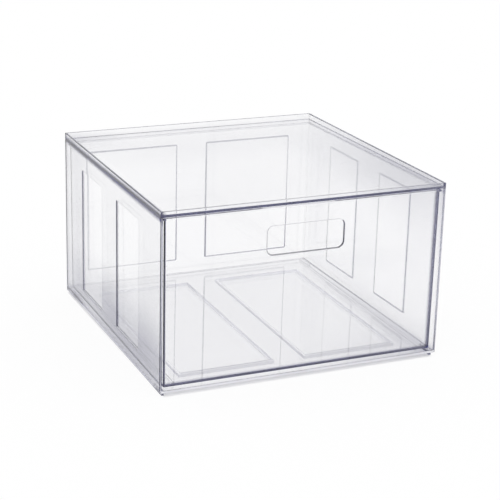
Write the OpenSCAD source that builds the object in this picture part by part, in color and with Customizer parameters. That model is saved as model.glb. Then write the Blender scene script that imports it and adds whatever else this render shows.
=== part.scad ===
// Stackable drawer box: a clear moulded case, open at the front, and a clear drawer that slides out of it.
// Origin: middle of the footprint, on the surface that the feet stand on. The open front faces -Y.

/* [Case] */
// Outer width of the case at its open front
case_w = 305; // [220:1:400]
// Outer depth of the case, from its front edge to its back face
case_d = 308; // [220:1:400]
// Height of the case walls, from their bottom edge to the top of the rim
case_h = 183.4; // [120:0.1:260]
// Thickness of the side walls, the back wall and the rim
case_wall_t = 2.5; // [1.6:0.1:4]
// Thickness of the case floor
case_floor_t = 2.3; // [1.6:0.1:4]
// Thickness of the top plate
top_plate_t = 2.3; // [1.6:0.1:4]
// Height of the stacking rim above the top plate, at the front edge
rim_h = 3.6; // [2.5:0.1:8]
// Mould draft: how far each side wall closes in between the front and the back
side_draft = 3.2; // [0:0.1:6]
// Mould draft: how far the floor rises, and the top plate falls, between the front and the back
plate_draft = 2.5; // [0:0.1:5]
// Radius of the upright corners of the case
case_corner_r = 1; // [0.4:0.1:2.4]

/* [Wall panels] */
// Depth of the panels, sunk into the outer faces of the side and back walls
panel_depth = 1.2; // [0.2:0.1:1.6]
// Radius of the corners of each panel
panel_corner_r = 1; // [0.5:0.1:6]
// Height of the panels
wall_panel_h = 136; // [40:0.5:150]
// Height of the panels' lower edge above the bottom edge of the walls
wall_panel_z = 21.3; // [12:0.1:40]
// Width of each of the two panels in a side wall
side_panel_w = 66.5; // [20:0.5:90]
// Distance from the front edge of the case to the first side panel
side_panel_front = 64; // [20:0.5:80]
// Distance between the two panels of a side wall
side_panel_gap = 48.5; // [10:0.5:80]
// Width of each of the two panels in the back wall
back_panel_w = 103.7; // [40:0.1:125]
// Distance between the two panels of the back wall
back_panel_gap = 36; // [10:0.5:60]

/* [Floor pads] */
// Clearance between the two pads pressed down into the floor and the surface that the feet stand on
pad_clear = 0.2; // [0:0.1:3]
// Thickness of the pads' walls and bottoms
pad_t = 2; // [1.2:0.1:3]
// Width of each pad
pad_w = 103.9; // [40:0.1:125]
// Length of each pad
pad_l = 239; // [100:0.5:255]
// Distance from the front edge of the case to the pads
pad_front = 32; // [24:0.5:50]
// Distance between the two pads
pad_gap = 33.4; // [10:0.1:60]

/* [Feet] */
// Height of the corner feet below the bottom edge of the walls
foot_h = 3.5; // [2:0.1:8]
// Thickness of each foot
foot_t = 2.5; // [1.6:0.1:4]
// Length of each foot along the side of the case
foot_l = 20; // [8:0.5:60]
// Clearance between a foot and the rim of the box that it is stacked on
foot_gap = 0.5; // [0.2:0.1:1.5]

/* [Drawer] */
// Distance from the front edge of the case back to the drawer's lip
drawer_setback = 1.8; // [0:0.1:10]
// Thickness of the drawer walls
drawer_wall_t = 2.2; // [1.6:0.1:4]
// Thickness of the drawer floor
drawer_floor_t = 2; // [1.6:0.1:4]
// Mould draft: how far each drawer wall leans in between its top and its bottom
drawer_draft = 0.6; // [0:0.1:2]
// Radius of the upright corners of the drawer
drawer_corner_r = 1.6; // [0.6:0.1:2]
// How far the lip stands out from the drawer walls
lip_w = 1.5; // [0.5:0.1:4]
// Height of the lip
lip_h = 1.8; // [1:0.1:5]
// Clearance between the lip and the side walls of the case
lip_gap = 0.7; // [0.3:0.1:3]
// Clearance between the top of the drawer and the top plate of the case
top_gap = 1.7; // [0.5:0.1:5]
// Clearance between the lip at the drawer's back and the back wall of the case
back_gap = 5.7; // [0.5:0.1:20]

/* [Skids] */
// Clearance between the skids and the case floor that they run on
skid_gap = 0.3; // [0.1:0.1:1]
// Height of the skids below the drawer floor
skid_h = 1.9; // [1:0.1:5]
// Width of each skid
skid_w = 2; // [1:0.1:6]
// Distance from the side of the drawer, at its front, to the middle of a skid
skid_inset = 12.6; // [6:0.1:60]
// Distance from the drawer's front and back faces to the ends of the skids
skid_end = 7; // [4:0.5:40]

/* [Finger slot] */
// Width of the slot through the drawer front
slot_w = 82; // [50:0.5:140]
// Height of the slot
slot_h = 29; // [20:0.5:50]
// Radius of the corners of the slot
slot_corner_r = 6.3; // [2:0.1:10]
// Distance from the top edge of the drawer front down to the slot
slot_drop = 19.4; // [8:0.1:40]

/* [Hidden] */

over = 1; // how far a cut runs past the face that it opens
corner_steps = 6; // flats on each rounded upright corner
slot_fn = 64; // segments of the circles at the corners of the slot and the panels

case_front = -case_d / 2;
case_back = case_d / 2;
side_angle = atan(side_draft / case_d);
floor_angle = atan(plate_draft / case_d);
pad_h = foot_h - pad_clear; // below the underside of the floor

drawer_front = case_front + drawer_setback + lip_w;
drawer_back = case_back - case_wall_t - back_gap - lip_w;
drawer_mid = (drawer_front + drawer_back) / 2;
drawer_side_gap = case_wall_t + lip_gap + lip_w; // outer face of the case to the drawer wall

// Half width of the case at depth y, and heights above the bottom edge of its walls
function case_half(y) = case_w / 2 - side_draft * (y - case_front) / case_d;
function draft_z(y) = plate_draft * (y - case_front) / case_d;
function plate_under(y) = case_h - rim_h - top_plate_t - draft_z(y);
function drawer_under(y) = case_floor_t + draft_z(y) + skid_gap + skid_h;
function drawer_top(y) = plate_under(y) - top_gap;

// One rounded corner of an outline, and the outline of a piece that narrows towards the back
function corner(x, y, r, start) = [
    for (i = [0 : corner_steps])
        let (a = start + 90 * i / corner_steps)
        [x + r * cos(a), y + r * sin(a)]
];
function outline(front_half, back_half, front, back, r) = concat(
    corner(front_half - r, front + r, r, -90),
    corner(back_half - r, back - r, r, 0),
    corner(r - back_half, back - r, r, 90),
    corner(r - front_half, front + r, r, 180)
);

// Outline of the case seen from above, moved in from its sides by inset, between two depths
module case_outline(inset, front, back, r) {
    polygon(outline(case_half(front) - inset, case_half(back) - inset, front, back, r));
}

// A side view drawn as [depth, height] points, extruded across the whole width
module across(points) {
    rotate([90, 0, 90])
        linear_extrude(2 * case_w, center = true)
            polygon(points);
}

// Rounded rectangle with its lower left corner at the origin
module rounded_rect(w, h, r) {
    translate([r, 0])
        square([w - 2 * r, h]);
    translate([0, r])
        square([w, h - 2 * r]);
    for (x = [r, w - r], y = [r, h - r])
        translate([x, y])
            circle(r, $fn = slot_fn);
}

// ---- Outer case ----

// The space that the drawer slides in, open at the front
module drawer_bay() {
    front = case_front - over;
    back = case_back - case_wall_t;
    intersection() {
        linear_extrude(case_h)
            case_outline(case_wall_t, front, back, case_corner_r);
        across([
            [front, case_floor_t + draft_z(front)],
            [back, case_floor_t + draft_z(back)],
            [back, plate_under(back)],
            [front, plate_under(front)]
        ]);
    }
}

// The shallow tray above the top plate, inside the rim
module rim_tray() {
    front = case_front + case_wall_t;
    back = case_back - case_wall_t;
    intersection() {
        linear_extrude(case_h + over)
            case_outline(case_wall_t, front, back, case_corner_r);
        across([
            [front, plate_under(front) + top_plate_t],
            [back, plate_under(back) + top_plate_t],
            [back, case_h + over],
            [front, case_h + over]
        ]);
    }
}

// The wedge of space under the floor, inside the bottom edge of the walls
module floor_hollow() {
    back = case_back - case_wall_t;
    intersection() {
        translate([0, 0, -over])
            linear_extrude(case_h)
                case_outline(case_wall_t, case_front, back, case_corner_r);
        across([
            [case_front, -over],
            [back, -over],
            [back, draft_z(back)],
            [case_front, 0]
        ]);
    }
}

module panel(w, h) {
    translate([0, 0, -panel_depth])
        linear_extrude(panel_depth + over)
            rounded_rect(w, h, panel_corner_r);
}

// Two panels in the outer face of the right-hand wall
module side_panels() {
    for (start = [side_panel_front, side_panel_front + side_panel_w + side_panel_gap])
        translate([case_w / 2, case_front, wall_panel_z])
            rotate([0, 0, side_angle])
                rotate([90, 0, 90])
                    translate([start, 0, 0])
                        panel(side_panel_w, wall_panel_h);
}

// Two panels in the outer face of the back wall
module back_panels() {
    for (x = [back_panel_gap / 2, -back_panel_gap / 2 - back_panel_w])
        translate([x, case_back, wall_panel_z])
            rotate([90, 0, 0])
                mirror([0, 0, 1])
                    panel(back_panel_w, wall_panel_h);
}

// Blocks in the outline of the two pads moved in by inset; heights are from the floor's sloping underside
module pad_blocks(inset, low, high) {
    for (x = [pad_gap / 2, -pad_gap / 2 - pad_w])
        translate([0, case_front, 0])
            rotate([floor_angle, 0, 0])
                translate([x + inset, pad_front + inset, low])
                    linear_extrude(high - low)
                        rounded_rect(pad_w - 2 * inset, pad_l - 2 * inset, panel_corner_r);
}

// A foot along the right-hand side, from its front end; it runs up into the floor
module foot(front) {
    top = draft_z(front + foot_l / 2) + case_floor_t / 2;
    outer = case_wall_t + foot_gap;
    translate([0, 0, -foot_h])
        linear_extrude(foot_h + top)
            polygon([
                [case_half(front) - outer - foot_t, front],
                [case_half(front) - outer, front],
                [case_half(front + foot_l) - outer, front + foot_l],
                [case_half(front + foot_l) - outer - foot_t, front + foot_l]
            ]);
}

module outer_case() {
    rim_clear = case_wall_t + foot_gap;
    color([0.90, 0.91, 0.95, 0.35])
        translate([0, 0, foot_h]) {
            difference() {
                union() {
                    difference() {
                        linear_extrude(case_h)
                            case_outline(0, case_front, case_back, case_corner_r);
                        drawer_bay();
                        rim_tray();
                        floor_hollow();
                        side_panels();
                        mirror([1, 0, 0])
                            side_panels();
                        back_panels();
                    }
                    pad_blocks(0, -pad_h, case_floor_t / 2);
                }
                pad_blocks(pad_t, pad_t - pad_h, case_floor_t + over);
            }
            for (side = [0, 1])
                mirror([side, 0, 0]) {
                    foot(case_front + rim_clear);
                    foot(case_back - rim_clear - foot_l);
                }
        }
}

// ---- Drawer ----

// A block as high as the case, in the drawer's outline moved in by inset, and leaning in towards its bottom
module leaning_block(inset) {
    half = case_half(drawer_mid) - drawer_side_gap;
    lean = drawer_draft + inset;
    translate([0, drawer_mid, 0])
        linear_extrude(case_h, scale = half / (half - drawer_draft), slices = 1)
            translate([0, -drawer_mid])
                polygon(outline(
                    case_half(drawer_front) - drawer_side_gap - lean,
                    case_half(drawer_back) - drawer_side_gap - lean,
                    drawer_front + lean,
                    drawer_back - lean,
                    max(drawer_corner_r - inset, drawer_corner_r / 2)
                ));
}

module drawer_body() {
    front = case_front;
    back = case_back;
    intersection() {
        leaning_block(0);
        across([
            [front, drawer_under(front)],
            [back, drawer_under(back)],
            [back, drawer_top(back)],
            [front, drawer_top(front)]
        ]);
    }
}

// The narrow flange round the top edge
module lip() {
    front = drawer_front - lip_w;
    back = drawer_back + lip_w;
    intersection() {
        linear_extrude(case_h)
            case_outline(drawer_side_gap - lip_w, front, back, drawer_corner_r);
        across([
            [front - over, drawer_top(front - over) - lip_h],
            [back + over, drawer_top(back + over) - lip_h],
            [back + over, drawer_top(back + over)],
            [front - over, drawer_top(front - over)]
        ]);
    }
}

// The space inside the drawer, open at the top
module drawer_inside() {
    front = case_front;
    back = case_back;
    intersection() {
        leaning_block(drawer_wall_t);
        across([
            [front, drawer_under(front) + drawer_floor_t],
            [back, drawer_under(back) + drawer_floor_t],
            [back, case_h],
            [front, case_h]
        ]);
    }
}

// The slot runs through the drawer front and the air on both sides of it
module finger_slot() {
    bottom = drawer_top(drawer_front) - slot_drop - slot_h;
    translate([-slot_w / 2, drawer_front + drawer_wall_t + drawer_draft + over, bottom])
        rotate([90, 0, 0])
            linear_extrude(drawer_wall_t + drawer_draft + lip_w + 2 * over)
                rounded_rect(slot_w, slot_h, slot_corner_r);
}

// The right-hand skid under the drawer floor; it runs up into the floor and slopes with it
module skid() {
    front = drawer_front + skid_end;
    back = drawer_back - skid_end;
    x = case_half(drawer_front) - drawer_side_gap - skid_inset;
    translate([x, 0, 0])
        rotate([90, 0, 90])
            linear_extrude(skid_w, center = true)
                polygon([
                    [front, drawer_under(front) - skid_h],
                    [back, drawer_under(back) - skid_h],
                    [back, drawer_under(back) + drawer_floor_t / 2],
                    [front, drawer_under(front) + drawer_floor_t / 2]
                ]);
}

module drawer() {
    color([0.93, 0.94, 0.97, 0.35])
        translate([0, 0, foot_h]) {
            difference() {
                union() {
                    drawer_body();
                    lip();
                }
                drawer_inside();
                finger_slot();
            }
            skid();
            mirror([1, 0, 0])
                skid();
        }
}

outer_case();
drawer();
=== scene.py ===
import math

import bpy
from mathutils import Matrix, Vector


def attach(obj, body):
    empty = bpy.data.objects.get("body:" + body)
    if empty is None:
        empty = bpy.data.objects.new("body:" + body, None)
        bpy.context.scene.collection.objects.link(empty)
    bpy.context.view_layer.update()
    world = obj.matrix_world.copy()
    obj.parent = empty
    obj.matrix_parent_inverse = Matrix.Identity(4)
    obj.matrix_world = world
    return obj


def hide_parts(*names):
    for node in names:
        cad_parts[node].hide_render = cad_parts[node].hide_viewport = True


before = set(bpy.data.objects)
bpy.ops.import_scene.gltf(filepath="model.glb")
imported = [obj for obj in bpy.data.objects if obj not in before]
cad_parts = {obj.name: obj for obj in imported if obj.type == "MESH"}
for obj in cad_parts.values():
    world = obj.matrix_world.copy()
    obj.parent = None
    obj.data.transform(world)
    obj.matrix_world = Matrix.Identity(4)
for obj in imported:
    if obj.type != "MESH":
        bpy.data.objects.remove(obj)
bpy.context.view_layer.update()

mm = 0.001                           # sizes are in millimetres, unless a note says otherwise
past = 5                             # how far a cutting block reaches past the face that it cuts
leastRadius = 0.05


def cornerArc(x, y, radius, start, steps):
    turn = [math.radians(start + 90 * i / steps) for i in range(steps + 1)]
    return [(x + radius * math.cos(a), y + radius * math.sin(a)) for a in turn]


def roundedBox(left, right, low, high, radius, steps=4):
    radius = max(radius, leastRadius)
    return (cornerArc(right - radius, low + radius, radius, -90, steps)
            + cornerArc(right - radius, high - radius, radius, 0, steps)
            + cornerArc(left + radius, high - radius, radius, 90, steps)
            + cornerArc(left + radius, low + radius, radius, 180, steps))


def taperedBox(frontHalf, backHalf, front, back, radius, steps=6):
    radius = max(radius, leastRadius)  # seen from above, narrower at the back
    return (cornerArc(frontHalf - radius, front + radius, radius, -90, steps)
            + cornerArc(backHalf - radius, back - radius, radius, 0, steps)
            + cornerArc(radius - backHalf, back - radius, radius, 90, steps)
            + cornerArc(radius - frontHalf, front + radius, radius, 180, steps))


def softEdge(radius, steps=4):
    turn = [math.radians(90 * i / steps) for i in range(steps + 1)]
    return [(radius * (1 - math.sin(a)), radius * (1 - math.cos(a))) for a in turn]  # (inset, height)


def loft(name, rings, ends, sides=None):
    count = len(rings[0])
    verts = [Vector(p) * mm for ring in rings for p in ring]
    faces = [tuple(reversed(range(count)))]
    for k in range(len(rings) - 1):
        a, b = k * count, (k + 1) * count
        faces += [(a + i, a + (i + 1) % count, b + (i + 1) % count, b + i) for i in range(count)]
    faces.append(tuple(range((len(rings) - 1) * count, len(rings) * count)))
    mesh = bpy.data.meshes.new(name)
    mesh.from_pydata(verts, [], faces)
    mesh.materials.append(ends)
    if sides:
        mesh.materials.append(sides)
        for face in mesh.polygons[1:-1]:
            face.material_index = 1
    mesh.update()
    piece = bpy.data.objects.new(name, mesh)
    bpy.context.scene.collection.objects.link(piece)
    return piece


def join(body, tools, operation):
    for tool in tools:
        cut = body.modifiers.new(tool.name, "BOOLEAN")
        cut.operation, cut.solver, cut.object = operation, "EXACT", tool
        cut.material_mode = "TRANSFER"
        bpy.context.view_layer.update()
        result = bpy.data.meshes.new_from_object(body.evaluated_get(bpy.context.evaluated_depsgraph_get()))
        body.modifiers.clear()
        body.data = result
        bpy.data.objects.remove(tool)


def emptyTree(owner):
    owner.use_nodes = True
    owner.node_tree.nodes.clear()
    return owner.node_tree


def addNode(tree, kind, inputs, **settings):
    node = tree.nodes.new("ShaderNode" + kind)
    for name, value in settings.items():
        setattr(node, name, value)
    for socket, value in inputs.items():
        if isinstance(value, bpy.types.NodeSocket):
            tree.links.new(value, node.inputs[socket])
        else:
            node.inputs[socket].default_value = value
    return node


def maths(tree, operation, first, second=0):
    return addNode(tree, "Math", {0: first, 1: second}, operation=operation).outputs["Value"]


def ramp(tree, value, start, end, low=0, high=1, curve="LINEAR"):
    inputs = {"Value": value, "From Min": start, "From Max": end, "To Min": low, "To Max": high}
    return addNode(tree, "MapRange", inputs, interpolation_type=curve).outputs["Result"]


def softRamp(tree, value, start, end, low=0, high=1):
    return ramp(tree, value, start, end, low, high, "SMOOTHSTEP")


def blendTint(tree, factor, first, second):
    inputs = {"Factor": factor, "A": first, "B": second}
    return addNode(tree, "Mix", inputs, data_type="RGBA").outputs["Result"]


def mixShader(tree, factor, first, second):
    return addNode(tree, "MixShader", {"Fac": factor, 1: first, 2: second}).outputs["Shader"]


plasticLook = {
    "refraction": 1.55,
    "absorbTint": (0.47, 0.475, 0.62, 1),
    "shadowTint": (0.93, 0.93, 0.94, 1),
    "clearTint": (1, 1, 1, 1),
    "lineShadeTint": (0.02, 0.02, 0.05, 1),   # darkest painted shade, on steps, frames, feet and the slot, for their dark outlines
    "zoneShadeTint": (0, 0, 0.12, 1),         # painted shade at full strength in the soft zones
    "milkTint": (0.9, 0.9, 0.94, 1),     # satin edges
    "cloudScale": 60,                    # size of the faint unevenness in the gloss
    "cloudFrom": 0.4, "cloudTo": 0.75,   # how much of the surface it takes
    "cloudRough": 0.01,
    "lowFade": (20, 90),                 # heights between which the painted shade low in the left frames fades out
    "rightBlur": 0.12,                   # roughness of the right walls
    "rightStart": 135,                   # how far to the right they start
}


def faceValue(tree, name):
    return addNode(tree, "Attribute", {}, attribute_name=name).outputs["Fac"]


# painted shade: each zone darkens the plastic's colour, fading out from its centre
def addShadeZones(tree, place, shadeZones, total):
    for centre, reach, strength in shadeZones.values():
        spot = addNode(tree, "Mapping", {
            "Vector": place,
            "Location": [-c / r for c, r in zip(centre, reach)],
            "Scale": [1 / (r * mm) for r in reach],
        }, vector_type="POINT")
        far = addNode(tree, "VectorMath", {0: spot.outputs["Vector"]}, operation="LENGTH")
        total = maths(tree, "ADD", total, softRamp(tree, far.outputs["Value"], 1, 0, high=strength))
    return total


# painted shade: the base colour darkens the clear plastic on marked faces and in soft zones, for dark edges
# and shaded patches
def paintedShadeTint(tree, place, height, shadeZones):
    low, high = (h * mm for h in plasticLook["lowFade"])
    lowShadePart = maths(tree, "MULTIPLY", faceValue(tree, "lowShadeArea"), softRamp(tree, height, low, high, 1, 0))
    tint = blendTint(tree, faceValue(tree, "paintedShadeArea"), plasticLook["clearTint"], plasticLook["lineShadeTint"])
    return blendTint(tree, addShadeZones(tree, place, shadeZones, lowShadePart), tint, plasticLook["zoneShadeTint"])


def plasticRoughness(tree, place):
    cloud = addNode(tree, "TexNoise", {"Vector": place, "Scale": plasticLook["cloudScale"]})
    uneven = ramp(tree, cloud.outputs["Fac"], plasticLook["cloudFrom"], plasticLook["cloudTo"],
                  high=plasticLook["cloudRough"])
    return maths(tree, "ADD", uneven, faceValue(tree, "blurArea"))


# an area value that a shell doesn't have counts as 0
def clearPlastic(name, absorb, shadeZones, satinTop):
    finish = bpy.data.materials.new(name)
    tree = emptyTree(finish)
    place = addNode(tree, "TexCoord", {}).outputs["Object"]
    height = addNode(tree, "SeparateXYZ", {"Vector": place}).outputs["Z"]
    shell = addNode(tree, "BsdfPrincipled", {
        "Base Color": paintedShadeTint(tree, place, height, shadeZones),
        "Roughness": plasticRoughness(tree, place),
        "IOR": plasticLook["refraction"],
        "Transmission Weight": 1,
    })
    below = maths(tree, "LESS_THAN", height, satinTop * mm)
    satin = maths(tree, "MULTIPLY", faceValue(tree, "satinArea"), below)
    milk = addNode(tree, "BsdfDiffuse", {"Color": plasticLook["milkTint"]})
    surface = mixShader(tree, satin, shell.outputs["BSDF"], milk.outputs["BSDF"])
    clear = addNode(tree, "BsdfTransparent", {"Color": plasticLook["shadowTint"]})
    path = addNode(tree, "LightPath", {})
    surface = mixShader(tree, path.outputs["Is Shadow Ray"], surface, clear.outputs["BSDF"])
    depth = addNode(tree, "VolumeAbsorption", {"Color": plasticLook["absorbTint"], "Density": absorb})
    addNode(tree, "OutputMaterial", {"Surface": surface, "Volume": depth.outputs["Volume"]})
    print(name, "ready")
    return finish


# these only mark areas while the shells are made
polished = bpy.data.materials.new("polishedArea")
frameArea = bpy.data.materials.new("frameArea")
stepArea = bpy.data.materials.new("stepArea")
slotArea = bpy.data.materials.new("slotArea")
footArea = bpy.data.materials.new("footArea")

# how squarely a face has to look along an axis, from 0 to 1, to count as facing that way
facing = {"frame": 0.9, "step": 0.5, "wall": 0.95, "mouth": 0.99, "mouthRound": 0.35}


def finishShell(shell, finish, rules):
    areas = [marker.name for marker in shell.data.materials]
    for name, rule in rules.items():
        values = [rule(areas[f.material_index], f.center, f.normal) for f in shell.data.polygons]
        shell.data.attributes.new(name, "FLOAT", "FACE").data.foreach_set("value", values)
    shell.data.materials.clear()
    shell.data.materials.append(finish)


def wallBlur(area, centre, normal):
    onRight = abs(normal.x) > facing["wall"] and centre.x > plasticLook["rightStart"] * mm
    return plasticLook["rightBlur"] * onRight


case = {
    "width": 305, "depth": 308, "height": 183.4,
    "wall": 2.5, "floor": 2.3, "plate": 2.3, "rim": 3.6,
    "sideDraft": 3.2, "plateDraft": 2.5,
    "corner": 1.0, "innerCorner": 1.0,   # upright corners, outside and inside the rim and the skirt
    "edge": 0.5,                         # rounding of the outer edges
    "mouthEdge": 1.0, "bayEdge": 0.5,    # rounding at the open front and along the edges inside
    "trayEdge": 0.5, "rimEdge": 0.8,     # rounding at the foot and at the top of the rim's inner face
    "foot": 3.5,                         # how far the feet stand below the walls
    "absorb": 14.0,                      # per metre of plastic
    "frameShade": {"left": 0.09, "right": 0.035, "back": 0.0, "floor": 0.03},  # painted shade on the frames round the panels, more on some sides
    "lowShade": 0.26,                    # more painted shade low in the left frames
    "mouthFloor": 0.75, "mouthSides": 0.45,  # milky satin on the front edges
    "satinDeep": 0.6, "satinHigh": 0.5,  # how far back it reaches, and how far above the floor
    "shadeZones": {                           # soft zones of painted shade: centre, reach, strength
        "leftLow": ((-152, -50, 30), (25, 230, 66), 0.3),
        "leftFront": ((-152, -120, 72), (25, 100, 75), 0.06),
        "leftRear": ((-150, 104, 90), (20, 40, 200), 0.08),
        "leftRim": ((-151, -60, 180.5), (9, 700, 6), 1),
        "rightTop": ((152, -110, 187), (130, 330, 95), 0.23),
        "backTop": ((0, 154, 160), (330, 45, 32), 0.11),
        "backLeft": ((-140, 152, 90), (22, 20, 150), 0.11),
        "rearEdge": ((-149, 153, 90), (5, 6, 2000), 0.25),
        "frontTop": ((0, -154, 178), (2000, 6, 3.5), 0.5),
        "plate": ((0, 0, 182), (300, 300, 14), 0.055),
        "plateRear": ((-150, 140, 180), (90, 80, 10), 0.14),
        "floorFront": ((165, -165, 4), (190, 150, 10), 0.3),
        "floorRight": ((150, -40, 4), (40, 200, 9), 0.3),
        "floorLeft": ((-150, 130, 5), (60, 60, 14), 0.27),
    },
}
caseFront, caseBack = -case["depth"] / 2, case["depth"] / 2
base = case["foot"]                      # height of the bottom edge of the walls


def caseHalf(y):
    return case["width"] / 2 - case["sideDraft"] * (y - caseFront) / case["depth"]


def draft(y):
    return case["plateDraft"] * (y - caseFront) / case["depth"]


def floorTop(y):
    return base + case["floor"] + draft(y)


def plateTop(y):
    return base + case["height"] - case["rim"] - draft(y)


def plateUnder(y):
    return plateTop(y) - case["plate"]


def caseOutline(inset, front, back, radius):
    return taperedBox(caseHalf(front) - inset, caseHalf(back) - inset, front, back, radius)


def caseBlock():
    edge = softEdge(case["edge"])
    levels = [(inset, base + h) for inset, h in edge]
    levels += [(inset, base + case["height"] - h) for inset, h in reversed(edge)]
    rings = []
    for inset, z in levels:
        points = caseOutline(inset, caseFront + inset, caseBack - inset, case["corner"] - inset)
        rings.append([(x, y, z) for x, y in points])
    return loft("caseShell", rings, frameArea)


def drawerBay():
    wall, edge, inner = case["wall"], case["mouthEdge"], case["bayEdge"]
    back = caseBack - wall
    levels = [(edge, caseFront - past)]
    levels += [(grow, caseFront + h) for grow, h in softEdge(edge)]
    levels += [(-inset, back - h) for inset, h in reversed(softEdge(inner))]
    rings = []
    for grow, y in levels:
        half = caseHalf(y) - wall + grow
        section = roundedBox(-half, half, floorTop(y) - grow, plateUnder(y) + grow, inner + grow)
        rings.append([(x, y, z) for x, z in section])
    rings.reverse()
    return loft("drawerBay", rings, polished)


def rimTray():
    wall, corner = case["wall"], case["innerCorner"]
    front, back = caseFront + wall, caseBack - wall
    top = base + case["height"]
    rings = []
    for inset, h in softEdge(case["trayEdge"]):
        points = caseOutline(wall + inset, front + inset, back - inset, corner - inset)
        rings.append([(x, y, plateTop(y) + h) for x, y in points])
    for grow, h in reversed(softEdge(case["rimEdge"])):
        points = caseOutline(wall - grow, front - grow, back + grow, corner + grow)
        rings.append([(x, y, top - h) for x, y in points])
    rings.append([(x, y, top + past) for x, y, z in rings[-1]])
    return loft("rimTray", rings, polished)


def floorHollow():
    points = caseOutline(case["wall"], caseFront - past, caseBack - case["wall"], case["innerCorner"])
    low = [(x, y, base - past) for x, y in points]
    high = [(x, y, base + draft(y)) for x, y in points]
    return loft("floorHollow", [low, high], frameArea)


panels = {
    "depth": 1.2, "corner": 1.0, "edge": 0.58,
    "height": 136, "low": 21.3,
    "sideCount": 2, "sideWidth": 66.5, "sideFront": 64, "sideGap": 48.5,
    "backWidth": 103.7, "backGap": 36,
    "line": {"left": 0, "right": 1.0, "back": 0.4},  # width of the painted dark line inside the steps
    "paintedShade": {"left": (0.75, 0), "right": (1, 1), "back": (1, 1)},  # painted shade on upright and level steps
    "leftSatin": 0.5,                    # on the level steps of the left panels
}


def panel(name, origin, along, outward, width, line):
    edge, depth, height = panels["edge"], panels["depth"], panels["height"]
    up = Vector((0, 0, 1))
    levels = [(edge, past)]
    levels += [(grow, -h) for grow, h in softEdge(edge)]
    levels += [(-inset, h - depth) for inset, h in reversed(softEdge(edge))]
    if line:
        levels.append((-edge - line, -depth))
    rings = []
    for grow, out in levels:
        section = roundedBox(-grow, width + grow, -grow, height + grow, panels["corner"] + grow)
        rings.append([origin + along * u + up * v + outward * out for u, v in section])
    if along.cross(up).dot(outward) > 0:
        rings.reverse()
    return loft(name, rings, polished, stepArea)


def sidePanels(side):
    slope = math.atan(case["sideDraft"] / case["depth"])
    along = Vector((-side * math.sin(slope), math.cos(slope), 0))
    outward = Vector((side * math.cos(slope), math.sin(slope), 0))
    corner = Vector((side * case["width"] / 2, caseFront, base + panels["low"]))
    line = panels["line"]["right" if side > 0 else "left"]
    made = []
    for i in range(panels["sideCount"]):
        origin = corner + along * (panels["sideFront"] + i * (panels["sideWidth"] + panels["sideGap"]))
        made.append(panel("sidePanel", origin, along, outward, panels["sideWidth"], line))
    return made


def backPanels():
    along, outward = Vector((1, 0, 0)), Vector((0, 1, 0))
    made = []
    for x in (panels["backGap"] / 2, -panels["backGap"] / 2 - panels["backWidth"]):
        origin = Vector((x, caseBack, base + panels["low"]))
        made.append(panel("backPanel", origin, along, outward, panels["backWidth"], panels["line"]["back"]))
    return made


pads = {
    "clearance": 0.2,                    # above the table
    "thick": 2.0, "width": 103.9, "length": 239, "front": 32, "gap": 33.4,
    "corner": 0.5, "edge": 0.25,
    "satin": {"left": 0.2, "right": 0.25, "front": 0.9, "back": 0.4},
}
padDepth = case["foot"] - pads["clearance"]


def padBlocks(name, inset, low, high):
    made = []
    front = caseFront + pads["front"] + inset
    back = caseFront + pads["front"] + pads["length"] - inset
    for left in (pads["gap"] / 2, -pads["gap"] / 2 - pads["width"]):
        right = left + pads["width"] - inset
        rings = []
        for shrink, z in [*[(i, low + h) for i, h in softEdge(pads["edge"])], (0, high)]:
            outline = roundedBox(left + inset + shrink, right - shrink, front + shrink, back - shrink,
                                 pads["corner"] - shrink)
            rings.append([(x, y, base + z + draft(y)) for x, y in outline])
        made.append(loft(name, rings, polished, stepArea))
    return made


feet = {
    "thick": 2.5, "length": 20, "gap": 0.5, "edge": 0.4,
    # painted shade: dark front feet, clear back feet
    "paintedShade": {"front": 0.95, "back": 0},
}


def foot(side, front):
    outer = case["wall"] + feet["gap"]
    inner = outer + feet["thick"]
    back = front + feet["length"]
    top = base + draft(front + feet["length"] / 2) + case["floor"] / 2
    rings = []
    for inset, z in [*softEdge(feet["edge"]), (0, top)]:
        corners = ((outer + inset, front + inset), (outer + inset, back - inset),
                   (inner - inset, back - inset), (inner - inset, front + inset))
        rings.append([(side * (caseHalf(y) - x), y, z) for x, y in corners])
    if side < 0:
        rings = [ring[::-1] for ring in rings]
    return loft("foot", rings, footArea)


def onPad(area, centre):
    return area == stepArea.name and centre.z < (base + panels["low"] / 2) * mm


def panelPlace(centre):
    if abs(centre.x) < (caseHalf(caseBack) - case["wall"]) * mm:
        return "back"
    return "left" if centre.x < 0 else "right"


# painted shade on the front feet, the steps and the frames, but not on the floor pads
def caseShade(area, centre, normal):
    if onPad(area, centre):
        return 0.0
    if area == footArea.name:
        return feet["paintedShade"]["front" if centre.y < 0 else "back"]
    if area == stepArea.name:
        return panels["paintedShade"][panelPlace(centre)][abs(normal.z) > facing["step"]]
    if area != frameArea.name:
        return 0.0
    sides = {"left": -normal.x, "right": normal.x, "back": normal.y, "floor": -normal.z}
    side = max(sides, key=sides.get)
    return case["frameShade"][side] if sides[side] > facing["frame"] else 0.0


# painted shade low in the left frames
def caseLowShade(area, centre, normal):
    return case["lowShade"] * (area == frameArea.name and -normal.x > facing["frame"])


def padSatin(centre, normal):
    middleX = (pads["gap"] + pads["width"]) / 2
    middleY = caseFront + pads["front"] + pads["length"] / 2
    if abs(normal.y) > facing["step"]:
        return pads["satin"]["front" if centre.y < middleY * mm else "back"]
    return pads["satin"]["left" if (abs(centre.x) < middleX * mm) == (centre.x > 0) else "right"]


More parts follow.
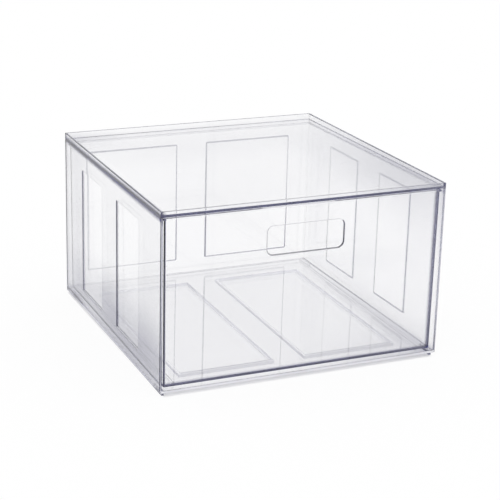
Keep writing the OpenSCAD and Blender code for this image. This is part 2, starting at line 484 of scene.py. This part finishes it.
def caseSatin(area, centre, normal):
    if onPad(area, centre):
        return padSatin(centre, normal)
    if area == stepArea.name:
        return panels["leftSatin"] * (panelPlace(centre) == "left" and abs(normal.z) > facing["step"])
    if -normal.y < facing["mouthRound"] or centre.y > (caseFront + case["satinDeep"]) * mm:
        return 0.0
    if centre.z < (base + case["floor"] + case["satinHigh"]) * mm:
        return case["mouthFloor"]
    return case["mouthSides"] if -normal.y > facing["mouth"] else 0.0


casePlastic = clearPlastic("casePlastic", case["absorb"], case["shadeZones"], plateUnder(caseFront))
caseShell = caseBlock()
join(caseShell, [drawerBay(), rimTray(), floorHollow()], "DIFFERENCE")
join(caseShell, [*sidePanels(1), *sidePanels(-1), *backPanels()], "DIFFERENCE")
footFront = caseFront + case["wall"] + feet["gap"]
footBack = caseBack - case["wall"] - feet["gap"] - feet["length"]
join(caseShell, [foot(side, y) for side in (1, -1) for y in (footFront, footBack)], "UNION")
join(caseShell, padBlocks("pad", 0, -padDepth, case["floor"] / 2), "UNION")
padHollows = padBlocks("padHollow", pads["thick"], pads["thick"] - padDepth, case["floor"] + past)
join(caseShell, padHollows, "DIFFERENCE")
finishShell(caseShell, casePlastic, {
    "paintedShadeArea": caseShade, "lowShadeArea": caseLowShade, "satinArea": caseSatin, "blurArea": wallBlur})
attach(caseShell, "case")
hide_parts("outer_case")
print("case ready", len(caseShell.data.polygons))


drawer = {
    "setback": 1.8, "wall": 2.2, "floor": 2.0, "lean": 0.6, "corner": 1.6,
    "lipWide": 1.5, "lipHigh": 1.8, "lipGap": 0.7,
    "topGap": 1.7, "backGap": 5.7,
    "skidGap": 0.3, "skidHigh": 1.9, "skidWide": 2, "skidInset": 12.6, "skidEnd": 7, "skidEdge": 0.5,
    "edge": 0.5,                         # rounding of the drawer's edges
    "innerEdge": 0.4,                    # rounding inside, round the drawer floor
    "absorb": 10.0,                      # per metre of plastic
    "shadeZones": {                           # soft zones of painted shade: centre, reach, strength
        "frontLow": ((0, -149, 7.5), (2000, 9, 4.5), 1),
        "frontRight": ((148, -150, 90), (8, 9, 2000), 1),
    },
}
sideGap = case["wall"] + drawer["lipGap"] + drawer["lipWide"]
drawerFront = caseFront + drawer["setback"] + drawer["lipWide"]
drawerBack = caseBack - case["wall"] - drawer["backGap"] - drawer["lipWide"]


def drawerUnder(y):
    return floorTop(y) + drawer["skidGap"] + drawer["skidHigh"]


def drawerTop(y):
    return plateUnder(y) - drawer["topGap"]


def drawerLean(z):
    return drawer["lean"] * (1 - (z - base) / case["height"])


def drawerRing(inset, corner, height):
    inset += drawerLean(height(0))
    points = taperedBox(caseHalf(drawerFront) - sideGap - inset, caseHalf(drawerBack) - sideGap - inset,
                        drawerFront + inset, drawerBack - inset, corner)
    return [(x, y, height(y)) for x, y in points]


def drawerBlock():
    edge, wall, corner = softEdge(drawer["edge"]), drawer["wall"], drawer["corner"]
    wide, high = drawer["lipWide"], drawer["lipHigh"]
    innerCorner = corner - wall / 2
    rings = []
    for inset, h in edge:
        rings.append(drawerRing(inset, corner - inset, lambda y: drawerUnder(y) + h))
    rings.append(drawerRing(0, corner, lambda y: drawerTop(y) - high))
    for inset, h in edge[1:]:
        rings.append(drawerRing(inset - wide, corner, lambda y: drawerTop(y) - high + h))
    for inset, h in reversed(edge):
        rings.append(drawerRing(inset - wide, corner, lambda y: drawerTop(y) - h))
    for inset, h in edge:
        rings.append(drawerRing(wall - inset, innerCorner, lambda y: drawerTop(y) - h))
    for inset, h in reversed(softEdge(drawer["innerEdge"])):
        rings.append(drawerRing(wall + inset, innerCorner, lambda y: drawerUnder(y) + drawer["floor"] + h))
    return loft("drawerShell", rings, polished)


def skid(side):
    front, back = drawerFront + drawer["skidEnd"], drawerBack - drawer["skidEnd"]
    middle = side * (caseHalf(drawerFront) - sideGap - drawer["skidInset"])
    half = drawer["skidWide"] / 2
    rings = []
    for inset, h in [*softEdge(drawer["skidEdge"]), (0, drawer["skidHigh"] + drawer["floor"] / 2)]:
        corners = ((half - inset, front + inset), (half - inset, back - inset),
                   (inset - half, back - inset), (inset - half, front + inset))
        rings.append([(middle + x, y, drawerUnder(y) - drawer["skidHigh"] + h) for x, y in corners])
    return loft("skid", rings, polished)


slot = {
    "width": 82, "height": 29, "corner": 6.3, "drop": 19.4, "edge": 1.05,
    "cornerSteps": 16,
    # painted shade round the slot's edges, darker on the right and low sides
    "paintedShade": {"left": 0.5, "right": 0.95, "low": 0.8, "high": 0.15},
}


def fingerSlot():
    edge, height = slot["edge"], slot["height"]
    low = drawerTop(drawerFront) - slot["drop"] - height
    outer = drawerFront + drawerLean(low)
    inner = outer + drawer["wall"]
    levels = [(edge, outer - past)] + [(grow, outer + h) for grow, h in softEdge(edge)]
    levels += [(grow, inner - h) for grow, h in reversed(softEdge(edge))] + [(edge, inner + past)]
    rings = []
    for grow, y in levels:
        half = slot["width"] / 2 + grow
        section = roundedBox(-half, half, low - grow, low + height + grow, slot["corner"] + grow,
                             slot["cornerSteps"])
        rings.append([(x, y, z) for x, z in section])
    rings.reverse()
    return loft("fingerSlot", rings, slotArea)


# painted shade on the slot's edge faces
def slotSmoke(area, centre, normal):
    if area != slotArea.name:
        return 0.0
    if abs(normal.x) > abs(normal.z):
        return slot["paintedShade"]["left" if normal.x > 0 else "right"]
    return slot["paintedShade"]["low" if normal.z > 0 else "high"]


drawerPlastic = clearPlastic("drawerPlastic", drawer["absorb"], drawer["shadeZones"], 0)
drawerShell = drawerBlock()
join(drawerShell, [fingerSlot()], "DIFFERENCE")
join(drawerShell, [skid(1), skid(-1)], "UNION")
finishShell(drawerShell, drawerPlastic, {"paintedShadeArea": slotSmoke, "blurArea": wallBlur})
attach(drawerShell, "drawer")
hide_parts("drawer")
print("drawer ready", len(drawerShell.data.polygons))


studio = {
    "floorSize": 6,                      # metres
    "floorShade": 0.08,                  # share of the floor that takes shadow
    "contactShade": 0.7,                 # the same, under the case
    "contactSide": 5,                    # how far in from the case's sides that ends
    "contactFade": 1.5,                  # width of its soft edge
    "white": (1, 1, 1, 1),
    "ceiling": (0.24, 0.235, 0.31, 1),   # seen only in reflections and through edges
    "fadeFrom": 0.25, "fadeTo": 0.75,    # sine of the height where white turns to the ceiling's grey
}


def underCase(tree):
    place = addNode(tree, "TexCoord", {}).outputs["Object"]
    split = addNode(tree, "SeparateXYZ", {"Vector": place})
    part = addNode(tree, "LightPath", {}).outputs["Is Camera Ray"]  # only where the floor is seen directly
    for axis, half in (("X", case["width"] / 2 - studio["contactSide"]), ("Y", case["depth"] / 2)):
        away = maths(tree, "ABSOLUTE", split.outputs[axis])
        inside = softRamp(tree, away, (half + studio["contactFade"]) * mm, half * mm)
        part = maths(tree, "MULTIPLY", part, inside)
    return part


def studioFloor():
    bpy.ops.mesh.primitive_plane_add(size=studio["floorSize"])
    floor = bpy.context.object
    floor.name = "studioFloor"
    paper = bpy.data.materials.new("whitePaper")
    tree = emptyTree(paper)
    glow = addNode(tree, "Emission", {"Color": studio["white"]})
    matte = addNode(tree, "BsdfDiffuse", {"Color": studio["white"]})
    share = ramp(tree, underCase(tree), 0, 1, studio["floorShade"], studio["contactShade"])
    surface = mixShader(tree, share, glow.outputs["Emission"], matte.outputs["BSDF"])
    addNode(tree, "OutputMaterial", {"Surface": surface})
    floor.data.materials.append(paper)


def studioWorld():
    world = bpy.data.worlds.new("studioWorld")
    bpy.context.scene.world = world
    tree = emptyTree(world)
    place = addNode(tree, "TexCoord", {}).outputs["Generated"]
    height = addNode(tree, "SeparateXYZ", {"Vector": place}).outputs["Z"]
    path = addNode(tree, "LightPath", {})
    bent = maths(tree, "MAXIMUM", path.outputs["Is Glossy Ray"], path.outputs["Is Transmission Ray"])
    fade = ramp(tree, height, studio["fadeFrom"], studio["fadeTo"])
    tint = blendTint(tree, maths(tree, "MULTIPLY", fade, bent), studio["white"], studio["ceiling"])
    sky = addNode(tree, "Background", {"Color": tint})
    addNode(tree, "OutputWorld", {"Surface": sky.outputs["Background"]})


cameraPlace = {
    "azimuth": -24.223, "elevation": 18.747, "roll": 1.573,  # degrees
    "right": -0.05246, "up": 0.12261, "away": 1.53964,  # metres, from the middle of the lower front edge
    "lens": 110.771, "sensor": 36,
    "nearest": 0.01,                     # metres
}


def addCamera():
    azimuth, elevation, roll = (math.radians(cameraPlace[k]) for k in ("azimuth", "elevation", "roll"))
    ahead = Vector((-math.sin(azimuth) * math.cos(elevation), math.cos(azimuth) * math.cos(elevation),
                    -math.sin(elevation)))
    level = Vector((math.cos(azimuth), math.sin(azimuth), 0))
    upright = level.cross(ahead)
    right = math.cos(roll) * level + math.sin(roll) * upright
    up = math.cos(roll) * upright - math.sin(roll) * level
    place = Vector((0, caseFront * mm, base * mm))
    place += right * cameraPlace["right"] + up * cameraPlace["up"] - ahead * cameraPlace["away"]
    data = bpy.data.cameras.new("camera")
    data.lens, data.sensor_width = cameraPlace["lens"], cameraPlace["sensor"]
    data.clip_start = cameraPlace["nearest"]
    camera = bpy.data.objects.new("camera", data)
    bpy.context.scene.collection.objects.link(camera)
    camera.matrix_world = Matrix((
        (right.x, up.x, -ahead.x, place.x), (right.y, up.y, -ahead.y, place.y),
        (right.z, up.z, -ahead.z, place.z), (0, 0, 0, 1)))
    bpy.context.scene.camera = camera


# light crosses many clear faces before it leaves the box
bounces = {
    "max_bounces": 64, "transmission_bounces": 64, "glossy_bounces": 64,
    "transparent_max_bounces": 32,
}

studioFloor()
studioWorld()
addCamera()
scene = bpy.context.scene
scene.view_settings.view_transform = "Standard"
for name, count in bounces.items():
    setattr(scene.cycles, name, count)
print("studio ready")
